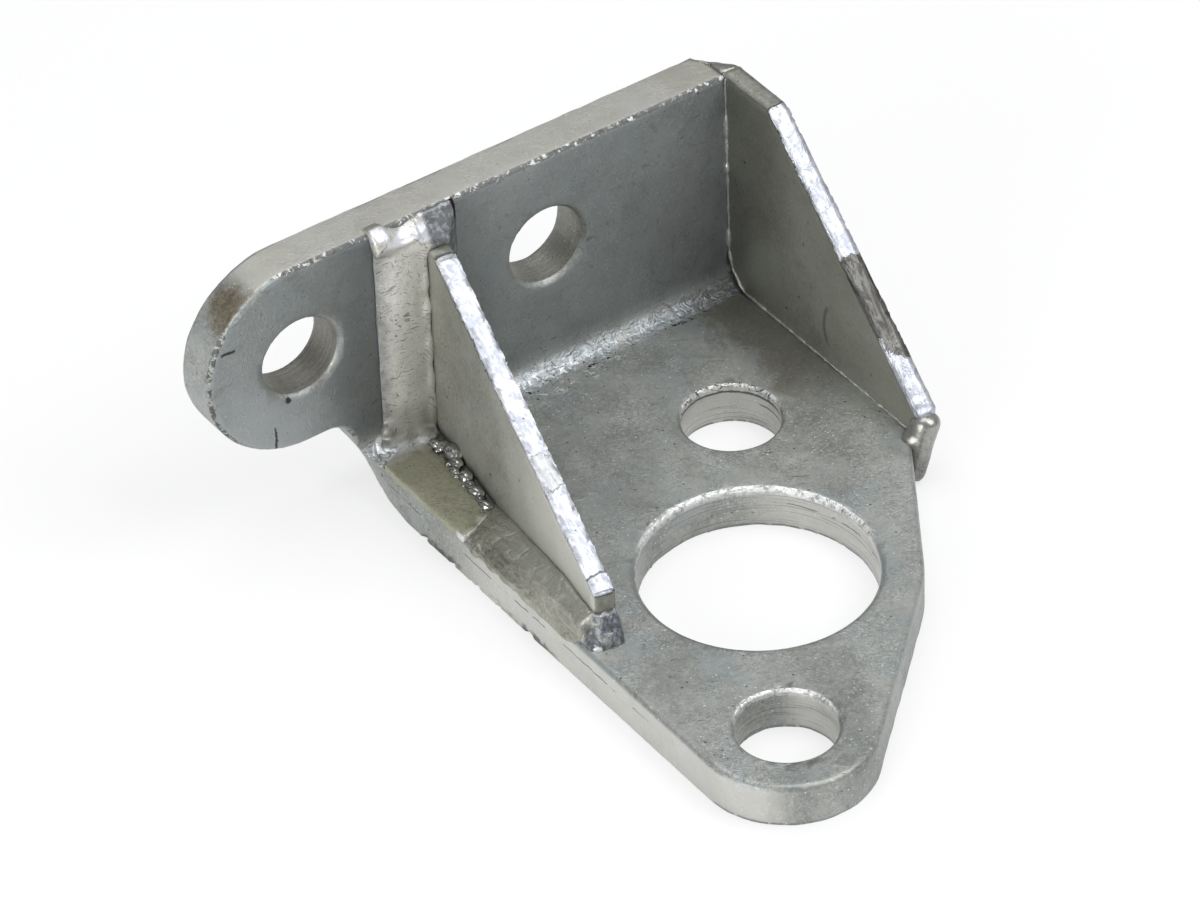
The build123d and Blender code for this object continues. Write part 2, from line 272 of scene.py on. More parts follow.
# %% Weather on the whole plate
def weather_plate(skin):
    """Dark blotches, cool patches, white dust, wrinkled zinc, and a brown stain beside the short gusset."""
    blotch = skin.step(skin.noise(5, 4, 0.7, 1.2), 0.58, 0.7) * skin.step(skin.noise(30, 2), 0.42, 0.6)
    skin.paint(blotch * 0.35, tone(92, 94, 90))
    cool = skin.step(skin.noise(15, 4, 0.65, 1.0), 0.5, 0.64)
    skin.paint(cool * 0.5, tone(156, 164, 167))
    dust = skin.step(skin.cells(1.5), 0.15, 0.08) * skin.step(skin.noise(10, 2), 0.42, 0.54)
    skin.paint(dust * 0.7, tone(238, 240, 240))

    wrinkle = abs(skin.noise(2.4, 2, 0.6, 2.0) - 0.5) * 2
    wrinkled = skin.step(skin.noise(11, 2), 0.40, 0.54)
    skin.paint(skin.step(wrinkle, 0.09, 0.02) * wrinkled * 0.35, tone(98, 101, 98))
    skin.paint(skin.step(wrinkle, 0.26, 0.36) * wrinkled * 0.3, tone(188, 194, 196))
    skin.relief += wrinkle * wrinkled * 0.10

    brown = skin.step(skin.x + skin.coarse * 18 + skin.ragged * 4, 47, 53)
    brown = brown * skin.step(skin.y + skin.coarse * 16, 38, 58) * skin.step(skin.nz, 0.5, 0.8)
    skin.paint(brown * 0.6, tone(112, 106, 93))


# %% [markdown]
# ## The wall's face
#
# The wall's face is painted bluer and darker as shade, since it is turned away from the lamps, and darkest
# beside the weld. Its top edge is painted warmer and lighter, as light from above. The surface normal tells the
# face from the edges, so no face has to be picked by hand.

# %% Painted shade and weather on the wall
def wall_shade_and_weather(skin):
    """A face painted bluish and darker as shade, darkest by the weld, with stains and scuffs, and a top edge
    painted warm and light.
    """
    front = skin.step(skin.ny, -0.8, -0.97) * skin.step(skin.y, wall_y - 1.2, wall_y - 0.5)
    # Painted shade: a bluer, darker tint on the face.
    front_shade = skin.mix(skin.coarse, tone(132, 139, 143), tone(158, 163, 165))
    skin.paint(front * 0.6, front_shade)
    # Painted shade, darkest beside the weld.
    weld_shade = skin.step(abs(skin.x + 30), 26, 12) * front
    skin.paint(weld_shade * 0.4, tone(84, 88, 86))
    stain = skin.step(skin.noise(7, 4, 0.7, 1.0), 0.56, 0.68) * front
    skin.paint(stain * 0.35, tone(124, 116, 104))
    scuff = skin.noise(1, 3, 0.6, 0.9, skin.stretch((0.5, 0.5, 1.7), (0.2, 0.5, 0)))
    skin.paint(front * skin.step(scuff, 0.66, 0.70) * 0.6, tone(64, 66, 66))
    # Painted light: the top edge made warmer and lighter.
    top_light = skin.step(skin.nz, 0.8, 0.95) * skin.step(skin.z, 60, 64)
    skin.paint(top_light * 0.55, tone(204, 201, 191))


# %% [markdown]
# ## Painted highlight in the bend
#
# The inside of the bend faces the lamp overhead, so a band of bright streaks is painted along it as a
# highlight, with ash specks along its lower border and a white patch of painted sheen at its left end. It could
# be a strip of its own. As a mask on the bend it keeps the plate's pits and scratches, and its border can be as
# torn as the real one.

# %% Painted highlight in the bend
def bend_highlight_and_specks(skin):
    """Painted highlight in streaks and worm marks along the bend, specks along its foot, and painted sheen at
    its left end.
    """
    # Painted highlight: a band of bright streaks along the inside of the bend.
    low = skin.step(skin.z + skin.ragged * 2.4, plate_t + 4.2, plate_t + 2.8)
    inside = low * skin.step(skin.y + skin.ragged * 2.4, bend_y + 1.4, bend_y + 2.6)
    inside = inside * skin.step(skin.ny, 0.05, -0.1) * skin.step(skin.nz, 0.02, 0.12)
    inside = inside * skin.step(skin.coarse, 0.34, 0.46)
    worm = abs(skin.noise(3.0, 1, 0.4, 1.3) - 0.5) * 2
    streak = skin.step(skin.noise(1, 3, 0.6, 1.0, skin.stretch((0.4, 1.1, 1.1))), 0.44, 0.6)
    skin.paint(inside * 0.5, skin.mix(streak, tone(132, 138, 146), tone(196, 202, 210)))
    skin.paint(inside * skin.step(worm, 0.05, 0.01) * 0.45, tone(96, 100, 106))
    skin.paint(inside * skin.step(skin.cells(1.6), 0.16, 0.09) * 0.8, tone(44, 45, 46))
    skin.roughness -= inside * 0.04
    skin.relief = skin.relief * (1 - inside * 0.6) + inside * worm * 0.22

    below = skin.step(skin.y + skin.ragged * 3, bend_y - 3.5, bend_y - 0.5)
    below = below * skin.step(skin.z, plate_t + 1.6, plate_t + 0.8)
    below = below * skin.step(skin.x, 34, 4) * skin.step(skin.nz, 0.3, 0.5)
    skin.paint(below * skin.step(skin.cells(1.1), 0.26, 0.16) * 0.85, tone(40, 40, 40))
    skin.paint(below * skin.step(skin.fine, 0.56, 0.62) * 0.8, tone(226, 230, 234))
    border = skin.step(abs(skin.y + skin.ragged * 2.4 - bend_y - 1.6), 0.8, 0.3)
    border = border * skin.step(skin.z, plate_t + 2, plate_t + 1)
    skin.paint(border * skin.step(skin.fine, 0.58, 0.62), tone(34, 34, 33))

    # Painted sheen: a white patch with dark creases at the bend's left end.
    pool_sheen = skin.near((-left_x + 4.2, bend_y + 1.6, plate_t + 0.9), 2.6, 2.6)
    pool_sheen = pool_sheen.most(skin.near((-left_x + 9, bend_y - 0.2, plate_t + 0.2), 2.0, 2.0))
    pool_sheen = skin.step(pool_sheen + skin.ragged * 0.5, 0.55, 0.9)
    crease = abs(skin.noise(3.4, 0, 0.5, 1.2) - 0.5) * 2
    skin.paint(pool_sheen * 0.85, tone(228, 231, 234))
    skin.paint(pool_sheen * skin.step(crease, 0.07, 0.02) * 0.7, tone(96, 98, 102))
    skin.roughness -= pool_sheen * 0.16
    skin.relief = skin.relief * (1 - pool_sheen) + pool_sheen * crease * 0.3


# %% [markdown]
# ## Holes and their mouths
#
# The far side of each mouth faces the lamps and the camera, so it is painted bright as a highlight, and the
# drill leaves fine rings in the walls. Low faces turned to the left, and the rear hole's wall, are painted
# paler as light from the left. Rings about an upright axis are distances in the plan, stretched noise gives the
# drawn lines, and the normal keeps the painted highlight to the far side.

# %% Wear and painted light in the holes
def hole_marks_and_highlights(skin):
    """Painted highlights on the far side of the mouths, left-facing faces painted paler as light, a dark line
    in the rear hole, and drawn lines in every hole's wall.
    """
    # Painted light: low faces turned to the left, and the rear hole's wall, are made paler.
    upright = skin.step(abs(skin.nz), 0.5, 0.25)
    rear_wall = skin.near((*bolt_at.xy, plate_t / 2), 11.6, 1.5) * upright
    edges = upright * skin.step(skin.z, 9.6, 8.4)
    edges = edges * skin.step(skin.nx, -0.35, -0.85) * skin.step(skin.y, 54, 34)
    pale = skin.mix(skin.coarse, tone(200, 199, 193), tone(226, 224, 218))
    skin.paint(edges.most(rear_wall * 0.8) * 0.65, pale)
    dull = skin.near((-16, 46, plate_t), 12, 14) * skin.step(skin.nz, 0.8, 0.95)
    skin.paint(dull * 0.3, tone(104, 108, 104))

    # Painted highlight on the far side of each mouth, with dark specks in it.
    rim_highlights = skin.ring((0, 0), bore_r + 0.8, 1.3)
    for side in (-1, 1):
        rim_highlights = rim_highlights.most(skin.ring(bolt_at * side, bolt_r + 0.65, 1.0))
    away = skin.step(skin.nx * -0.55 + skin.ny * -0.83, 0.1, 0.35)
    rim_highlights = rim_highlights * away * skin.step(skin.z, plate_t - 2.2, plate_t - 1.2)
    rim_highlights = rim_highlights * skin.step(skin.fine + skin.ragged, 0.75, 1.05)
    skin.paint(rim_highlights * 0.85, tone(242, 242, 240))
    skin.paint(rim_highlights * skin.step(skin.fine, 0.54, 0.58) * skin.step(skin.y, 28, 32) * 0.9, tone(52, 52, 50))
    under = skin.step(abs(skin.z - plate_t + 1.4 + skin.ragged * 0.8), 0.4, 0.15)
    skin.paint(skin.ring(bolt_at, bolt_r + 0.15, 0.5) * away * under * 0.8, tone(40, 40, 38))
    skin.relief += rim_highlights * skin.fine * 0.25

    turned = skin.noise(1, 2, 0.5, 0.1, skin.stretch((0.05, 2.6, 0.05)))
    drilled = skin.in_wall_hole(ear_hole).most(skin.in_wall_hole(wall_hole) * 0.8)
    skin.paint(drilled * 0.5, skin.mix(skin.step(turned, 0.35, 0.65), tone(116, 104, 88), tone(146, 142, 130)))
    drawn = skin.noise(1, 2, 0.5, 0.1, skin.stretch((0.05, 0.05, 2.6)))
    bored = skin.disc((0, 0), bore_r + 0.5)
    for side in (-1, 1):
        bored = bored.most(skin.disc(bolt_at * side, bolt_r + 0.25))
    bored = bored * skin.step(abs(skin.nz), 0.6, 0.3)
    skin.paint(bored * skin.step(drawn, 0.56, 0.64) * 0.4, tone(96, 96, 92))
    skin.relief += bored * drawn * 0.10 + drilled * turned * 0.05


# %% [markdown]
# ## The ear, the top edge and the sheared side
#
# The ear stuck out, so it took the knocks: its rim is rubbed to brown, its face has a crack, a dent and a pit,
# and the top edge is chipped. The shear left broken lines low on the left side. Each is placed by the object's
# own coordinates and roughened by noise, so that no outline is a perfect circle or a ruled line.

# %% Wear on the edges
def wear_edges(skin):
    """A chipped top edge, a brown rub and knocks on the ear, and the torn foot of the sheared side."""
    brow = skin.step(abs(skin.y - wall_y - 0.4), 0.9, 0.4) * skin.step(skin.z, top_z - 1.2, top_z - 0.6)
    skin.paint(brow * 0.75, tone(104, 106, 105))
    skin.roughness += brow * 0.22
    brow = brow * skin.step(skin.coarse, 0.42, 0.56)
    skin.paint(brow * skin.step(skin.fine, 0.54, 0.60) * 0.85, tone(240, 240, 240))
    skin.paint(brow * skin.step(skin.fine, 0.42, 0.36) * 0.7, tone(70, 70, 68))

    rust = skin.near((-73.2, wall_y + 3.4, 60.2), 2.4, 8.0) * skin.step(skin.ny, -0.8, -0.3)
    rust = skin.step(rust + skin.ragged * 0.9 + skin.coarse * 0.5, 1.05, 1.75)
    skin.paint(rust * 0.8, skin.mix(skin.step(skin.fine, 0.35, 0.65), tone(82, 72, 50), tone(128, 114, 86)))
    # Painted light: a paler patch low on the ear's face, for the floor's reflection.
    ear_light_patch = skin.near((-68, wall_y, 23), 6, 16) * skin.step(skin.ny, -0.8, -0.97)
    skin.paint(ear_light_patch * 0.45, tone(180, 184, 186))

    wander = skin.ragged * 1.6 - 0.8
    crack = skin.step(abs(skin.x + 65.2 + wander), 0.34, 0.14) * skin.step(abs(skin.z - 22.6), 4.4, 3.2)
    dent = skin.step(abs(skin.z - 51.2 + wander * 0.6), 0.5, 0.2) * skin.step(abs(skin.x + 75.2), 2.0, 1.4)
    pit = skin.near((-61.5, wall_y, 32.0), 0.5, 0.5)
    marks = crack.most(dent).most(pit) * skin.step(skin.ny, -0.6, -0.85)
    skin.paint(marks * 0.9, tone(38, 37, 36))
    skin.relief -= marks * 0.15
    worn = skin.step(skin.y, wall_y + 0.08, wall_y + 0.2) * skin.step(skin.y, wall_y + 1.5, wall_y + 0.9)
    worn = worn * skin.step(skin.x, -73, -76) * skin.step(skin.fine, 0.46, 0.54)
    skin.paint(worn * 0.8, tone(58, 57, 54))

    seam = skin.step(abs(skin.z - plate_t + 3.0 + skin.coarse * 1.6), 0.22, 0.10)
    seam = seam * skin.step(skin.nx, -0.6, -0.9) * skin.step(skin.noise(6, 2), 0.48, 0.54)
    seam = seam * skin.step(skin.y, -26, -14)
    skin.paint(seam * 0.7, tone(44, 43, 41))
    torn = skin.step(skin.z + skin.ragged * 5.0, 4.4, 3.2) * skin.step(abs(skin.nz), 0.6, 0.3)
    torn = torn * skin.step(skin.noise(14, 3, 0.6), 0.46, 0.56) * skin.step(skin.y, 8, 16)
    torn = torn * skin.step(skin.y, 62, 56) * skin.step(skin.x, 4 - left_x, 2 - left_x)
    skin.paint(torn * 0.75, tone(56, 54, 48))
    skin.relief -= torn * 0.3


# %% [markdown]
# ## The whole plate
#
# Each layer covers a little of the last, so their order is the order of events: the zinc first, the knocks
# last. The layers share three noises, one ragged, one coarse and one fine. That saves time, and it makes the
# borders of different marks agree, as they do on real metal.

# %% Finish of the bent plate
def plate_finish():
    skin = Finish("zinc_plate")
    zinc(skin, tone(174, 176, 171), tone(130, 132, 127))
    skin.ragged = skin.noise(2.2, 4, 0.7)
    skin.coarse = skin.noise(9, 3, 0.6, 1.0)
    skin.fine = skin.noise(1.3, 3, 0.65, 0.8)
    for layer in (weather_plate, wall_shade_and_weather, bend_highlight_and_specks, hole_marks_and_highlights, wear_edges):
        layer(skin)
    return skin.finish()


# %% [markdown]
# ## The sides of the gussets
#
# The long gusset is paler outside, towards its toe. The short one is painted dark inside its corner as shade,
# and lighter towards its front as light, and it has a smear and a curved line where zinc dried. The marks and
# the painted shade follow the object's coordinates, as the plate's do, and none reaches over to the other
# gusset, so one function can mark both.

# %% Marks and painted shade on the sides of the gussets
def mark_and_shade_sides(skin):
    """The marks and painted shade above, each held to its place by the normal and the coordinates."""
    within = skin.step(skin.nx, -0.7, -0.9) * skin.step(skin.x, 45, 50)
    outer_low = skin.step(skin.nx, -0.7, -0.9) * skin.step(skin.x, 0, -10) * skin.step(skin.y, 52, 16)
    skin.paint(outer_low * 0.7, tone(208, 208, 199))
    # Painted shade inside the short gusset's corner, by the wall.
    corner = skin.step(skin.y + skin.z * 0.35, 60, 92) * within
    skin.paint(corner * 0.55, tone(70, 72, 64))
    # Painted light: lighter towards the short gusset's front.
    skin.paint(skin.step(skin.y - skin.z * 0.5, 52, 20) * within * 0.4, tone(176, 176, 162))
    smear = skin.near((52, 67, 21), 5.5, 4.0) * within
    skin.paint(smear * 0.4, tone(160, 161, 150))
    height = skin.z - 20
    curved = skin.step(abs(skin.y - 47 + height * height * 0.05), 0.7, 0.25) * skin.step(abs(height), 6, 4)
    skin.paint(curved * within * 0.45, tone(64, 64, 58))


# %% [markdown]
# ## Bright slopes on the gussets
#
# The sloped edges of the gussets were sawn, so the zinc sat on them in a thick bright coat that still shines,
# and its pale colour is also painted highlight, where the slope faces the lamp overhead.
# Its border is torn where the coat laps over the saw burr. The distance to the sloped plane, with noise on
# it, gives that border. Painting the faces instead would leave a ruler-straight line.

# %% Colour of the bright coat, partly painted highlight
def coat_and_highlight(skin, bare, cross_line):
    """The coat's colour, pale partly as painted highlight, and how bare it is in the places that were worn."""
    silver = skin.step(skin.lump * 0.5 + skin.streaks * 0.5, 0.38, 0.6)
    bright = skin.mix(silver, tone(176, 180, 190), tone(224, 226, 230))
    specks = skin.step(skin.cells(2.3), 0.16, 0.08) * skin.step(skin.noise(6, 2), 0.5, 0.6)
    bright = skin.mix(specks * 0.8, bright, tone(96, 98, 102))
    blotch = skin.step(skin.noise(3, 4, 0.7, 0.8), 0.56, 0.64)
    bright = skin.mix(blotch * 0.45, bright, tone(150, 155, 166))
    coat_off = None
    for place, reach, shade in bare:
        gone = skin.near(place, reach, 4.5)
        gone = skin.step(gone * 0.7 + skin.ragged * 0.9 + skin.streaks * 0.3, 1.0, 1.12)
        shade = skin.mix(skin.step(skin.streaks, 0.4, 0.6) * 0.5, shade, tone(150, 150, 148))
        bright = skin.mix(gone, bright, shade)
        coat_off = coat_off.most(gone) if coat_off else gone
    if cross_line is not None:
        line = skin.step(abs(skin.y - cross_line + skin.ragged * 1.4), 0.4, 0.15)
        bright = skin.mix(line * 0.8, bright, tone(60, 60, 60))
    return bright, coat_off


# %% Finish of a gusset
def gusset_finish(name, slope_at, slope_normal, bare, cross_line=None):
    """Zinc with dark dots and a bright slope, its pale colour partly painted highlight, the slope given by a
    point on it and the way that it faces.
    """
    skin = Finish(name)
    zinc(skin, tone(166, 166, 155), tone(132, 132, 121))
    skin.ragged = skin.noise(1.6, 4, 0.7)
    skin.lump = skin.noise(4.5, 3, 0.6, 1.4)
    skin.streaks = skin.noise(1, 3, 0.6, 1.2, skin.stretch((0.8, 0.22, 0.22), (0.5, 0, 0)))
    skin.paint(skin.step(skin.cells(5.5), 0.085, 0.05) * 0.8, tone(30, 30, 28))
    away = skin.node("VectorMath", {"operation": "SUBTRACT"}, {0: skin.place, 1: slope_at})
    settings = {"operation": "DOT_PRODUCT"}
    depth = skin.node("VectorMath", settings, {0: away.outputs[0], 1: slope_normal})
    torn_depth = Amount(skin, depth.outputs["Value"]) + skin.ragged * 0.9
    coat = skin.step(torn_depth, -0.12, 0.08)
    rim = skin.step(torn_depth, -0.45, -0.15) * (1 - coat)
    skin.paint(rim * 0.75, tone(44, 44, 42))
    mark_and_shade_sides(skin)
    bright, coat_off = coat_and_highlight(skin, bare, cross_line)
    # The coat's pale colour is partly painted highlight.
    skin.paint(coat, bright)
    skin.roughness -= coat * 0.02
    skin.relief += coat * (1 - coat_off) * 0.16 + coat * (skin.lump * 0.22 + skin.streaks * 0.12)
    return skin.finish()


# %% [markdown]
# ## Beads
#
# A weld bead is paler and smoother than the plate. A plain one needs nothing but its own tone and gloss, so
# one short function serves the corner bead, the run in the seam and the drops.

# %% Finish of a plain bead
def bead_finish(name, light, dark, gloss, metal=0.7):
    """Zinc of its own tone, and glossier than the rest."""
    skin = Finish(name)
    zinc(skin, light, dark)
    skin.roughness -= gloss
    return skin.finish(metal)


# %% [markdown]
# ## Marks on the upright bead
#
# It carries crescents where the puddle froze in steps, a white crest, and stains at its foot. Inside the gusset
# it is painted dark as shade with painted highlights, its undercut is painted black as shade, its left side is
# painted darker as shade, and its flared foot has a painted sheen. A picture wrapped round it would smear on
# such a lumpy skin. The crescents are instead a sine wave up the bead, bowed about its middle and jogged by
# noise, and they show only in patches.

# %% Finish of the upright bead
def wall_bead_finish():
    """The upright bead: crescents, white at its crest, painted shade with painted highlights inside the gusset,
    a black undercut and a darker left side as painted shade, brownish at its foot, and a painted sheen on the
    flare.
    """
    skin = Finish("zinc_wall_bead")
    zinc(skin, tone(226, 224, 217), tone(200, 198, 190))
    bow = (skin.x + 33.5) * (skin.x + 33.5) * 0.09
    wave = (skin.z + bow + skin.noise(6, 2) * 7) * 2.6
    wave = wave.math("SINE", wave)
    crescent = skin.step(abs(wave), 0.34, 0.10) * skin.step(skin.noise(2.2, 2), 0.54, 0.60)
    skin.paint(crescent * 0.55, tone(84, 84, 80))
    hairs = skin.step(skin.noise(1, 3, 0.6, 1.6, skin.stretch((0.7, 0.7, 2.0), (0.4, 0, 0))), 0.62, 0.67)
    skin.paint(hairs * 0.5, tone(92, 91, 86))
    skin.relief -= crescent * 0.10 + hairs * 0.05
    ragged = skin.noise(2.4, 4, 0.7)
    crest = skin.near((-37.4, 81.2, 64.2), 1.5, 2.0).most(skin.near((-27.6, 80.4, 61.6), 1.5, 2.2))
    bridge = skin.step(abs(skin.z - 63.0), 1.3, 0.7) * skin.step(abs(skin.x + 32), 6, 4.5)
    bridge = bridge * skin.step(skin.ny, 0, -0.3)
    crest = skin.step(crest.most(bridge * 0.7) + ragged * 0.5, 0.6, 0.95)
    skin.paint(crest * 0.85, tone(228, 230, 236))
    behind = skin.step(skin.z, 63.6, 64.6) * skin.step(skin.nz, 0.5, 0.8) * skin.step(skin.y, 81.6, 82.6)
    skin.paint(behind * 0.8, tone(134, 128, 116))
    # Painted shade inside the gusset, broken by painted highlights.
    inner_shade = skin.step(skin.x + ragged * 2.0, -26.4, -24.8) * skin.step(skin.y, 70, 76)
    broken_highlight = skin.step(skin.noise(2.0, 3, 0.6, 0.8), 0.50, 0.62)
    skin.paint(inner_shade * 0.85, skin.mix(broken_highlight, tone(88, 92, 98), tone(150, 154, 160)))
    # Painted shade: a black line in the undercut.
    undercut_shade = skin.step(abs(skin.x + 18.3 + ragged * 0.9), 0.7, 0.3) * skin.step(skin.z + ragged * 4, 62, 64)
    skin.paint(undercut_shade, tone(20, 20, 20))
    # Painted shade: the bead's left side made darker, like the wall beside it.
    side = skin.step(skin.x + ragged * 3.4, -33.8, -38.2) * skin.step(skin.z, 63, 60)
    skin.paint(side * 0.9, tone(118, 121, 119))
    foot = skin.step(skin.z + ragged * 5, 24, 14)
    skin.paint(foot * 0.7, tone(142, 139, 130))
    # Painted sheen on the flared foot.
    flare_sheen = skin.step(skin.z + ragged * 1.6, 13.4, 12.0)
    sheen = skin.mix(skin.step(ragged, 0.4, 0.6), tone(150, 153, 154), tone(222, 225, 228))
    skin.paint(flare_sheen * 0.7, sheen)
    skin.roughness -= flare_sheen * 0.12
    return skin.finish()


# %% [markdown]
# ## Marks on the bead along the base
#
# Zinc ran down this bead and left long pale streaks, which are partly painted highlight along them, and its toe
# froze bluish. Spots on its top, white glints at its toe and the crests of its ripples are painted highlights.
# Streaks could be placed one by one, but noise that is stretched along the bead gives all of them at once.

# %% Finish of the bead along the base
def base_bead_finish():
    """The bead along the base: dull olive with long pale streaks, partly painted highlight, painted highlights
    on spots and ripples, and a bluish toe with painted glints.
    """
    skin = Finish("zinc_base_bead")
    zinc(skin, tone(158, 156, 144), tone(122, 120, 106))
    flow = skin.noise(1, 3, 0.6, 1.2, skin.stretch((0.55, 0.12, 0.4), (0, 0, 0.08)))
    # The pale streaks are partly painted highlight.
    skin.paint(skin.step(flow, 0.56, 0.66) * 0.55, tone(192, 192, 182))
    skin.paint(skin.step(flow, 0.42, 0.34) * 0.4, tone(94, 92, 80))
    climbing = skin.step(skin.z - plate_t - (50 - skin.y) * 0.1, 0.2, 1.8)
    skin.paint(climbing * 0.7, tone(168, 168, 158))
    # Painted highlights on the top of the bead.
    highlight_spots = (((-36.5, 23.1, 12.3), 0.9, tone(206, 202, 180)),
                  ((-37.7, 15.9, 13.5), 1.1, tone(212, 208, 184)),
                  ((-39.4, 5.2, 12.7), 1.3, tone(232, 230, 216)))
    for place, reach, shade in highlight_spots:
        skin.paint(skin.near(place, reach, 2.4) * 0.8, shade)
    toe = skin.step(skin.y + skin.noise(2, 3) * 3, 5.0, 2.0)
    upright = skin.noise(1, 2, 0.6, 0.4, skin.stretch((1.4, 1.4, 0.2)))
    bluish = skin.mix(skin.step(upright, 0.42, 0.62), tone(88, 92, 98), tone(132, 138, 148))
    skin.paint(toe * 0.85, bluish)
    # Painted glints at the toe.
    for place in ((-42.2, -2.2, 10.2), (-37.2, -1.8, 10.2)):
        skin.paint(skin.near(place, 0.7, 0.6), tone(236, 238, 240))
    skin.paint(skin.near((-41.2, 9.5, 10.4), 0.5, 0.5), tone(36, 36, 34))
    ripple = skin.noise(3.2, 2, 0.5, 0.8)
    # Painted highlight on the ripples' crests.
    skin.paint(skin.step(ripple, 0.58, 0.66) * 0.3, tone(196, 196, 188))
    skin.roughness -= 0.06
    skin.relief += flow * 0.3 + ripple * 0.5
    return skin.finish()


# %% [markdown]
# ## The drained layer
#
# Where the zinc ran down the wall and out of the bend it froze as a thick olive layer, dull and marbled.
# It has its own finish because nothing else on the bracket has that tint. Its sloped border and its end by the
# bend are painted white as highlight.

# %% Finish of the drained layer
layer_slant = 0.53


def layer_finish():
    skin = Finish("zinc_layer")
    zinc(skin, tone(170, 168, 148), tone(140, 139, 118))
    marble = abs(skin.noise(5, 4, 0.6, 2.4) - 0.5) * 2
    skin.paint(skin.step(marble, 0.12, 0.02) * 0.5, tone(172, 170, 148))
    # Painted highlight on the layer's sloped border.
    edge = skin.step(skin.nz, 0.95, 0.78) * skin.step(skin.y - skin.x * layer_slant, 70.6, 69.2)
    skin.paint(edge * 0.8, tone(228, 229, 230))
    # Painted highlight by the bend, like the band in the bend.
    bend_highlight_on_layer = skin.step(skin.y + skin.noise(3, 3) * 6, 75.0, 79.0)
    skin.paint(bend_highlight_on_layer * 0.8, tone(214, 217, 218))
    skin.roughness -= edge * 0.2
    skin.relief += marble * 0.12
    return skin.finish()


# %% [markdown]
# ## One finish for each kind of metal
#
# Each finish is listed beside a slot of the CAD part, which says which paint could be swapped, and every piece
# wears a finish, which says what it looks like now. A gusset's bright coat has to know its slope. It gets it
# from the rise, the run and the level length above them, so that no face is picked by hand.

# %% Make every finish
def normal_of_slope(rise, run, turn=0.0):
    """The way that a gusset's slope faces, when the gusset is turned about the upright axis."""
    angle = math.atan2(rise, run)
    flat = math.sin(angle)
    return Vector((-math.sin(turn) * flat, -math.cos(turn) * flat, math.cos(angle)))


long_x, short_x = -24.5, 54.5
long_flat, short_flat = 8.0, 15.6
long_slope, short_slope = normal_of_slope(36.6, 72.6, splay), normal_of_slope(50.7, 52.3)
long_edge = Vector((long_x - long_flat * math.sin(splay), wall_y - long_flat * math.cos(splay), long_high.z))
short_edge = Vector((short_x, wall_y - short_flat, short_high.z))
long_bare = [((-33.4, 27.5, 34), 2.4, tone(200, 202, 206))]
short_bare = [((54.6, 36.5, 37), 4.2, tone(84, 82, 78)), ((55.2, 31.0, 32), 4.6, tone(84, 82, 78)),
              ((57.0, 26.0, 27), 2.6, tone(96, 94, 90))]
finishes = {
    "plate": ("zinc_plate", plate_finish()),
    "long": ("zinc_gusset", gusset_finish("zinc_long_gusset", long_edge, long_slope, long_bare, 6.2)),
    "short": ("zinc_gusset", gusset_finish("zinc_short_gusset", short_edge, short_slope, short_bare)),
    "layer": ("zinc_plate", layer_finish()),
    "wall_bead": ("zinc_weld", wall_bead_finish()),
    "base_bead": ("zinc_weld", base_bead_finish()),
    "corner": ("zinc_weld", bead_finish("zinc_corner_bead", tone(168, 168, 162), tone(96, 96, 90), 0.20)),
    "run": ("zinc_weld", bead_finish("zinc_run", tone(206, 206, 200), tone(150, 151, 146), 0.16)),
    "drops": ("zinc_weld", bead_finish("zinc_drops", tone(186, 186, 182), tone(120, 120, 116), 0.30, 1.0)),
}
print("finishes:", sorted(finishes))

# %% [markdown]
# ## Plate and gussets
#
# A CAD solid arrives as loose triangles with knife-sharp edges. A copy of it is merged, its flat faces are
# joined, and its sharp edges are bevelled. Then planes cut it into small squares, like a cake, so that noise
# can push the surface about. Subdividing would do it too, but long thin faces would stay long and thin.

# %% Copy, bevel and cut a CAD solid
def merged_copy(node):
    """A bmesh of a CAD solid, its triangles merged and its flat faces joined."""
    made = bmesh.new()
    made.from_mesh(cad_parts[node].data)
    bmesh.ops.remove_doubles(made, verts=made.verts, dist=0.002 * mm)
    bmesh.ops.dissolve_limit(made, angle_limit=math.radians(1.0), verts=made.verts, edges=made.edges)
    return made


def break_edges(made, width, least=55):
    """Bevels every edge sharper than an angle."""
    sharp = [e for e in made.edges if len(e.link_faces) == 2 and e.calc_face_angle(0) > math.radians(least)]
    bmesh.ops.bevel(made, geom=sharp, offset=width * mm, affect="EDGES", segments=3, profile=0.5, material=-1,
                    clamp_overlap=True)
    bmesh.ops.remove_doubles(made, verts=made.verts, dist=0.01 * mm)


def cut_into_squares(made, size, chosen=None):
    """Cuts a bmesh, or some of its faces, with planes that far apart across all three axes."""
    for axis in range(3):
        part = [f for f in made.faces if chosen is None or chosen(f.calc_center_median() / mm)]
        places = [v.co[axis] / mm for f in part for v in f.verts]
        cut = math.floor(min(places) / size) * size + size * 0.5
        normal = Vector([float(axis == i) for i in range(3)])
        while cut < max(places):
            if chosen is None:
                part = [*made.verts, *made.edges, *made.faces]
            else:
                faces = [f for f in made.faces if chosen(f.calc_center_median() / mm)]
                part = list(dict.fromkeys(item for f in faces for item in (*f.verts, *f.edges, f)))
            bmesh.ops.bisect_plane(made, geom=part, dist=0.001 * mm, plane_co=normal * cut * mm,
                                   plane_no=normal)
            cut += size


# %% [markdown]
# ## Surfaces that are not quite flat
#
# Rolled plate, sheared edges and zinc are uneven, by a few hundredths of a millimetre on a face and by more
# along an edge. Bump in the material only shades that. Moving the vertices by noise makes it real, and it
# shows in the outline too. Every piece then goes into the scene by one short function.

# %% Push a surface about, and place a piece
def add_object(name, data):
    """A new object in the scene."""
    made = bpy.data.objects.new(name, data)
    bpy.context.scene.collection.objects.link(made)
    return made


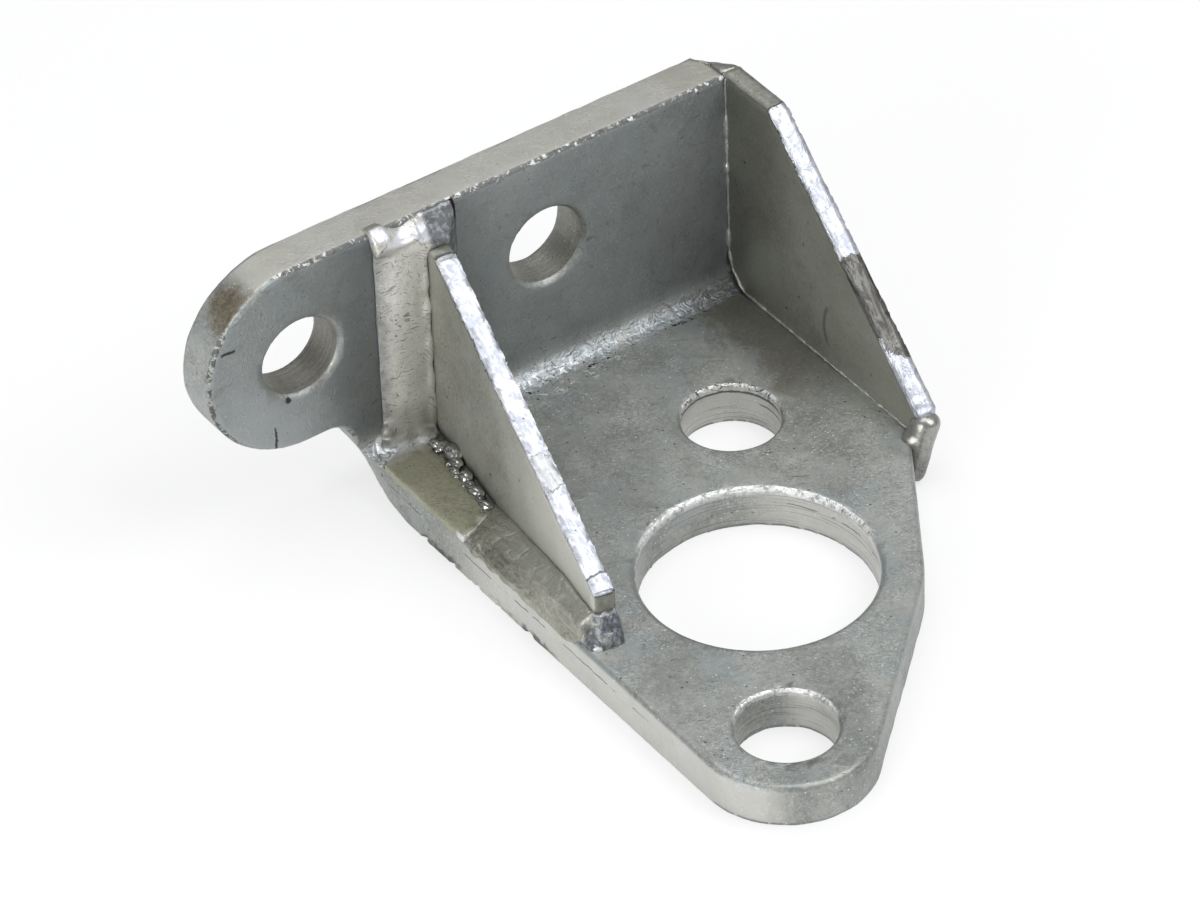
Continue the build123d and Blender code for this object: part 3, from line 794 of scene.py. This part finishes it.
def rough_up(made, depth, edge_depth, size):
    """Moves each vertex along its normal: a little on faces, more along sharp edges."""
    made.normal_update()
    moves = []
    for v in made.verts:
        sharpest = max((e.calc_face_angle(0) for e in v.link_edges if len(e.link_faces) == 2), default=0)
        reach = edge_depth if sharpest > math.radians(15) else depth
        push = noise.noise(v.co / (size * mm)) * 0.7 + noise.noise(v.co / (size * 0.3 * mm)) * 0.3
        moves.append(v.normal * (push - 0.6) * reach * mm)
    for v, move in zip(made.verts, moves):
        v.co += move


def place_piece(name, made, kind, *nodes):
    """Turns a bmesh into a piece of the bracket that stands for some CAD solids, inside the CAD box."""
    for v in made.verts:
        v.co = Vector([min(max(v.co[i], cad_low[i]), cad_high[i]) for i in range(3)])
    bmesh.ops.dissolve_degenerate(made, dist=0.001 * mm, edges=made.edges)
    mesh = bpy.data.meshes.new(name)
    made.to_mesh(mesh)
    made.free()
    mesh.shade_smooth()
    mesh.set_sharp_from_angle(angle=math.radians(40))
    piece = add_object(name, mesh)
    slot, material = finishes[kind]
    mesh.materials.append(material)
    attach(piece, "root")
    if nodes:
        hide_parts(*nodes)
    print(name, len(mesh.polygons), "faces", [round(v / mm, 2) for v in piece.dimensions])


# %% [markdown]
# ## The bent plate
#
# Its edges are only just broken, but the shear tore pieces out of the foot of its long left side. The chips are
# cut finer than the rest and pulled in by noise that is stretched along the edge, as the shear travelled.

# %% The plate
plate = merged_copy("bent_plate")
break_edges(plate, 0.35)
cut_into_squares(plate, 2.0)


def on_sheared_foot(centre):
    """True low on the plate's long left edge, where the shear tore it."""
    return centre.x < 0.8 - left_x and centre.z < 2.4 and 12 < centre.y < 60


cut_into_squares(plate, 0.7, on_sheared_foot)
rough_up(plate, 0.05, 0.18, 4)
for v in plate.verts:
    place = v.co / mm
    if on_sheared_foot(place):
        bite = noise.noise(place * Vector((0.3, 0.16, 0.0)))
        bite += 0.4 * noise.noise(place * Vector((0.8, 0.6, 0.8)))
        v.co.x += min(1.0, max(0.0, bite - 0.16) * 2.2) * (2.4 - place.z) * 0.55 * mm
place_piece("plate_skin", plate, "plate", "bent_plate")

# %% [markdown]
# ## The two gussets
#
# Both are thin, so their edges show more than their faces. One loop makes both, with smaller squares than the
# plate's and a deeper push along the edges.

# %% The two gussets
for node, kind in (("long_gusset", "long"), ("short_gusset", "short")):
    sheet = merged_copy(node)
    break_edges(sheet, 0.4)
    cut_into_squares(sheet, 1.1)
    rough_up(sheet, 0.05, 0.45, 2.2)
    place_piece(node + "_skin", sheet, kind, node)

# %% [markdown]
# ## Melted metal
#
# Beads and spatter were liquid, so their shapes run into each other. Balls and the CAD bead are thrown
# together, a voxel remesh turns them into one skin, and smoothing lets it sag like a melt. Modelling such a
# skin face by face would take hours and still look carved.

# %% Balls
def ball(made, centre, radii, turn=0.0):
    """Adds a rounded lump, with its own radius along each axis."""
    radii = radii if isinstance(radii, (tuple, list)) else (radii,) * 3
    size = Matrix.Diagonal((*[r * mm for r in radii], 1))
    place = Matrix.Translation(Vector(centre) * mm) @ Matrix.Rotation(turn, 4, "Z") @ size
    bmesh.ops.create_icosphere(made, subdivisions=2, radius=1, matrix=place)


def row_of_balls(made, start, end, radius, spacing, wander=0.0, seed=0.0):
    """Balls from one point to another, their size and path a little uneven."""
    start, end = Vector(start), Vector(end)
    count = max(1, round((end - start).length / spacing))
    for i in range(count + 1):
        at = start.lerp(end, i / count)
        key = at * 0.31 + Vector((seed, seed * 2, 0))
        at = at + noise.noise_vector(key * 3) * wander
        ball(made, at, radius * (1 + 0.5 * noise.noise(key)))


# %% One skin over them
def drop_crumbs(made, least):
    """Deletes the loose bits of a bmesh that have fewer faces than that."""
    unseen = set(made.verts)
    while unseen:
        bit = [unseen.pop()]
        for v in bit:
            linked = [e.other_vert(v) for e in v.link_edges]
            bit += [other for other in linked if other in unseen]
            unseen.difference_update(linked)
        if len({f for v in bit for f in v.link_faces}) < least:
            bmesh.ops.delete(made, geom=bit, context="VERTS")


def melt(made, voxel, passes, depth=0.0, size=2.0, swell=0.0):
    """One smooth skin over everything in a bmesh, swollen first by what the smoothing wears off."""
    rough = bpy.data.meshes.new("melt")
    made.to_mesh(rough)
    made.free()
    holder = add_object("melt", rough)
    remesh = holder.modifiers.new("one_skin", "REMESH")
    remesh.mode, remesh.voxel_size = "VOXEL", voxel * mm
    evaluated = holder.evaluated_get(bpy.context.evaluated_depsgraph_get())
    skin = bpy.data.meshes.new_from_object(evaluated)
    bpy.data.objects.remove(holder)
    melted = bmesh.new()
    melted.from_mesh(skin)
    melted.normal_update()
    for v in melted.verts:
        v.co += v.normal * swell * mm
    drop_crumbs(melted, 200)
    for _ in range(passes):
        bmesh.ops.smooth_vert(melted, verts=melted.verts, factor=0.5, use_axis_x=True, use_axis_y=True,
                              use_axis_z=True)
    rough_up(melted, depth, depth, size)
    return melted


# %% [markdown]
# ## The bead up the wall
#
# It fills the corner outside the long gusset, and its last puddle stood over the top of the wall as a white
# crest and lapped round the back of the gusset. It could be sculpted, but lumps given by their places can be
# read and changed. Balls can only add metal, so the crest is lowered afterwards by a formula.

# %% Wall bead
crest = ((-29.4, 81.2, 61.4), (-26.8, 80.6, 61.6))
lap = ((-26.6, 81.2, 62.0), (-21.4, 82.4, 63.6))
drip = ((-25.4, 80.8, 60.4), (-25.6, 80.4, 58.4))
foot = ((-37.6, 80.6, 13.2), (-34.6, 80.2, 12.9), (-31.6, 79.8, 12.5))
by_gusset = ((-28.1, 78.4, 57.4), (-28.1, 78.4, 12.5))
wall_bead = merged_copy("long_gusset_wall_weld")
row_of_balls(wall_bead, *crest, 1.7, 1.0, 0.2)
row_of_balls(wall_bead, *lap, 1.0, 1.0, 0.3)
row_of_balls(wall_bead, *drip, 1.5, 1.0, 0.2)
for place in foot:
    ball(wall_bead, place, (2.8, 2.0, 2.2))
row_of_balls(wall_bead, *by_gusset, 0.95, 0.8, 0.15)
ball(wall_bead, (-36.2, 78.9, 10.7), (5.6, 3.6, 1.7))
ball(wall_bead, (-31.4, 77.6, 10.6), (3.6, 3.4, 1.6))
wall_bead = melt(wall_bead, 0.42, 9, 0.2, 4.5, 0.25)

# %% Sag the crest between its two ends
sag_x, sag_half, sag_from, end_x = -31.6, 4.6, 61.0, -35.0
for v in wall_bead.verts:
    place = v.co / mm
    dip = max(0.0, 1 - ((place.x - sag_x) / sag_half) ** 2)
    dip *= min(1.0, max(0.0, (place.z - sag_from) / 3.5))
    v.co.z -= 2.3 * dip * mm
    if place.x < end_x:
        v.co.z -= 0.15 * max(0.0, place.z - 64.4) * mm
place_piece("wall_bead", wall_bead, "wall_bead", "long_gusset_wall_weld")

# %% [markdown]
# ## The layer that drained out of the bend
#
# About a millimetre of zinc lies on the base between the bend and the start of the bead, its right border
# scalloped and its front end rounded. A slanting slab gives its body and a row of flat balls its border.

# %% Drained layer
front_end = ((-42.8, 44.8, plate_t), (-36.6, 47.8, plate_t))
layer = bmesh.new()
slant = Matrix(((1, 0, 0, 0), (layer_slant, 1, 0, 0), (0, 0, 1, 0), (0, 0, 0, 1)))
slab_at = Matrix.Translation(Vector((-39.7, 61.2, plate_t - 0.1)) * mm)
bmesh.ops.create_cube(layer, size=mm, matrix=slab_at @ slant @ Matrix.Diagonal((8.4, 29.6, 2.0, 1)))
scallops = 16
for i in range(scallops):
    along = i / (scallops - 1)
    jump = noise.noise_vector(Vector((i * 1.3, 7.7, 0.4)))
    centre = (-34.2 - 2.0 * along + jump.x * 1.0, 76.0 - 27.0 * along, plate_t)
    ball(layer, centre, (2.5 + jump.y, 2.0, 0.95))
row_of_balls(layer, *front_end, 1.0, 0.8, 0.2)
layer = melt(layer, 0.3, 4, 0.1, 4.0, 0.15)
place_piece("zinc_layer", layer, "layer")

# %% [markdown]
# ## The bead along the base
#
# It starts as a low step at the root, runs over the plate's left edge, and is drawn round the gusset's toe.
# It is melted like the bead up the wall, and then pressed flat towards its start, where it hardly stands
# above the plate.

# %% Base bead
on_edge = ((-42.4, 42.0, 9.0), (-42.6, 5.0, 8.9))
on_top = ((-37.6, 34.0, 10.6), (-39.4, 8.0, 11.2))
round_toe = ((-41.4, 5.0, 10.6), (-41.6, -0.4, 10.2))
before_toe = ((-41.2, -0.8, 10.4), (-37.4, -0.8, 10.6))
base_bead = merged_copy("long_gusset_base_weld")
row_of_balls(base_bead, *on_edge, 1.45, 1.2, 0.2)
row_of_balls(base_bead, *on_top, 1.7, 1.4, 0.3, 3.0)
row_of_balls(base_bead, *round_toe, 1.4, 1.0, 0.2)
row_of_balls(base_bead, *before_toe, 1.3, 0.8, 0.1)
base_bead = melt(base_bead, 0.42, 14, 0.2, 5.5, 0.5)
start_y, taper = 50.0, 34.0
for v in base_bead.verts:
    rise = v.co.z / mm - plate_t
    if rise > 0:
        grown = min(1.0, max(0.0, (start_y - v.co.y / mm) / taper))
        v.co.z = (plate_t + rise * (0.15 + 0.75 * grown)) * mm
place_piece("base_bead", base_bead, "base_bead", "long_gusset_base_weld")

# %% [markdown]
# ## The closed corner
#
# The bead behind the short gusset ends at its toe in a shiny lump that hung there as the zinc drained. One
# ball would be too round, so five make the lump, and a formula draws it in towards its foot.

# %% Corner bead and lump
lump = (((51.0, 14.4, 9.7), (2.3, 2.6, 2.2)), ((52.4, 13.6, 9.6), (2.6, 2.8, 3.4)),
        ((52.6, 13.2, 6.4), (2.5, 3.0, 4.4)), ((52.0, 13.4, 3.2), (2.0, 2.4, 2.6)),
        ((53.8, 14.1, 12.0), (1.9, 1.6, 2.4)))
corner_bead = merged_copy("short_gusset_weld")
for place, radii in lump:
    ball(corner_bead, place, radii)
corner_bead = melt(corner_bead, 0.45, 9, 0.2, 3.0, 0.4)
lump_end_y, lump_top_z = 20.0, 14.0
for v in corner_bead.verts:
    place = v.co / mm
    hanging = min(1.0, max(0.0, (lump_end_y - place.y) / 4.0))
    hanging *= min(1.0, max(0.0, (lump_top_z - place.z) / 13.0))
    v.co.x -= 0.45 * hanging * max(0.0, place.x - 50.0) * mm
    v.co.y += 0.3 * hanging * max(0.0, 14.0 - place.y) * mm
place_piece("corner_bead", corner_bead, "corner", "short_gusset_weld")

# %% [markdown]
# ## Zinc in the seam
#
# Zinc crept into the seam inside the closed corner and stands a little proud of it, as a pale wandering line
# with a few swellings. A curve with a bevel would be as even as a wire. Rows of small balls can wander.

# %% Zinc run into the seam inside the corner
seam = bmesh.new()
for start, end, radius, wander in (
        ((52.0, 81.6, 64.5), (52.0, 81.4, 18.0), 0.45, 0.12),
        ((52.0, 80.2, 14.0), (52.0, 76.6, 10.8), 0.5, 0.12),
        ((52.0, 81.4, 18.0), (52.0, 80.2, 14.0), 0.5, 0.12),
        ((52.0, 76.6, 10.4), (52.0, 16.8, 10.1), 0.42, 0.15)):
    row_of_balls(seam, start, end, radius, 0.5, wander)
for height, length in ((52.0, 3.6), (41.0, 1.6), (22.0, 3.0)):
    ball(seam, (52.0, 81.5, height), (0.8, 0.8, length))
seam = melt(seam, 0.22, 2, 0.08, 1.2)
place_piece("seam_run", seam, "run")

# %% [markdown]
# ## Spatter
#
# Drops of weld metal stuck along the root of the long gusset, and the zinc made them shine. They are balls
# of many sizes, scattered either side of one line, and melted together where they touch.

# %% Spatter along the root
spatter = bmesh.new()
large = ((-31.3, 73.2, 1.3), (-30.2, 70.9, 1.5), (-30.2, 67.9, 2.1), (-31.4, 64.9, 1.5), (-33.1, 63.4, 1.1),
         (-32.5, 59.9, 1.7), (-33.2, 57.2, 1.3), (-33.5, 54.7, 1.5), (-34.2, 52.2, 1.1), (-34.3, 49.9, 1.3))
for i, (x, y, radius) in enumerate(large):
    lean = noise.noise(Vector((i * 2.3, 1.1, 0.6)))
    ball(spatter, (x, y, plate_t + radius * 0.55), (radius, radius * (1.35 + 0.5 * lean), radius), 0.6 * lean)
root_start, root_end = Vector((-31.4, 74.0, plate_t)), Vector((-34.4, 49.0, plate_t))
small = 14
for i in range(small):
    jump = noise.noise_vector(Vector((i * 1.7, 0.3, 0.9)))
    at = root_start.lerp(root_end, i / (small - 1))
    ball(spatter, at + Vector((jump.x * 2.8, jump.y * 1.8, 0.6)), 0.55 + 0.7 * abs(jump.z))
spatter = melt(spatter, 0.22, 2)
place_piece("spatter", spatter, "drops")

# %% [markdown]
# ## Floor
#
# The bracket stands on a white sweep. To keep the sweep white without flooding the metal, what the camera
# sees of the floor is mostly its own glow, and the rest is an ordinary matt floor that takes the shadow.

# %% Floor
floor_bm = bmesh.new()
bmesh.ops.create_grid(floor_bm, x_segments=1, y_segments=1, size=6.0)
floor_mesh = bpy.data.meshes.new("floor")
floor_bm.to_mesh(floor_mesh)
floor_bm.free()
floor = add_object("floor", floor_mesh)

paper = Finish("white_paper")
matt = paper.node("BsdfDiffuse", None, {"Color": (0.88, 0.88, 0.89, 1)})
glow = paper.node("Emission", None, {"Color": (1, 1, 1, 1), "Strength": 1.0})
rays = paper.node("LightPath")
seen = Amount(paper, rays.outputs["Is Camera Ray"]) * 0.7
glossy, transmitted = (Amount(paper, rays.outputs[f"Is {kind} Ray"]) for kind in ("Glossy", "Transmission"))
mirrored = glossy.most(transmitted) * 0.5
blend = paper.node("MixShader", None, {0: seen + mirrored, 1: matt.outputs[0], 2: glow.outputs[0]})
paper.node("OutputMaterial", None, {"Surface": blend.outputs[0]})
floor_mesh.materials.append(paper.material)

# %% [markdown]
# ## Light
#
# Grey metal is drawn by what it mirrors. Three large soft lamps and a dim bluish sky give it gentle
# reflections: from the front right on the slopes, from overhead on the base, and low from the left on the
# sheared side. One strong sun would give black shadows and burnt edges.

# %% Lights
world = bpy.data.worlds.new("studio")
bpy.context.scene.world = world
world.use_nodes = True
sky = world.node_tree.nodes["Background"].inputs
sky["Color"].default_value = (0.93, 0.96, 1.0, 1)
sky["Strength"].default_value = 0.35
lit = Vector((0, 0, 0.02))


def softbox(name, place, size, power):
    """A square lamp that faces the middle of the bracket's foot."""
    lamp = bpy.data.lights.new(name, "AREA")
    lamp.size, lamp.energy = size, power
    made = add_object(name, lamp)
    made.location = place
    made.rotation_euler = (lit - Vector(place)).to_track_quat("-Z", "Y").to_euler()
    print(name, "at", place)


softbox("key_box", (0.50, -0.50, 1.05), 0.8, 8.5)
softbox("top_box", (0.05, 0.25, 1.2), 0.9, 6)
softbox("left_box", (-1.3, -0.4, 0.4), 0.9, 12)

# %% [markdown]
# ## Camera
#
# It looks down on the bracket from its front left with a long lens, so that the sides stay nearly parallel. It
# is turned a little, as a camera held in the hand is.

# %% Camera
camera = add_object("camera", bpy.data.cameras.new("camera"))
camera.location = (-0.67163, -0.947203, 0.991494)
camera.rotation_euler = [math.radians(a) for a in (50.72399, 1.72375, -35.17561)]
camera.data.lens = 219.4452
camera.data.sensor_width = 36
camera.data.clip_start, camera.data.clip_end = 0.1, 20
bpy.context.scene.camera = camera
bpy.context.scene.view_settings.view_transform = "Standard"
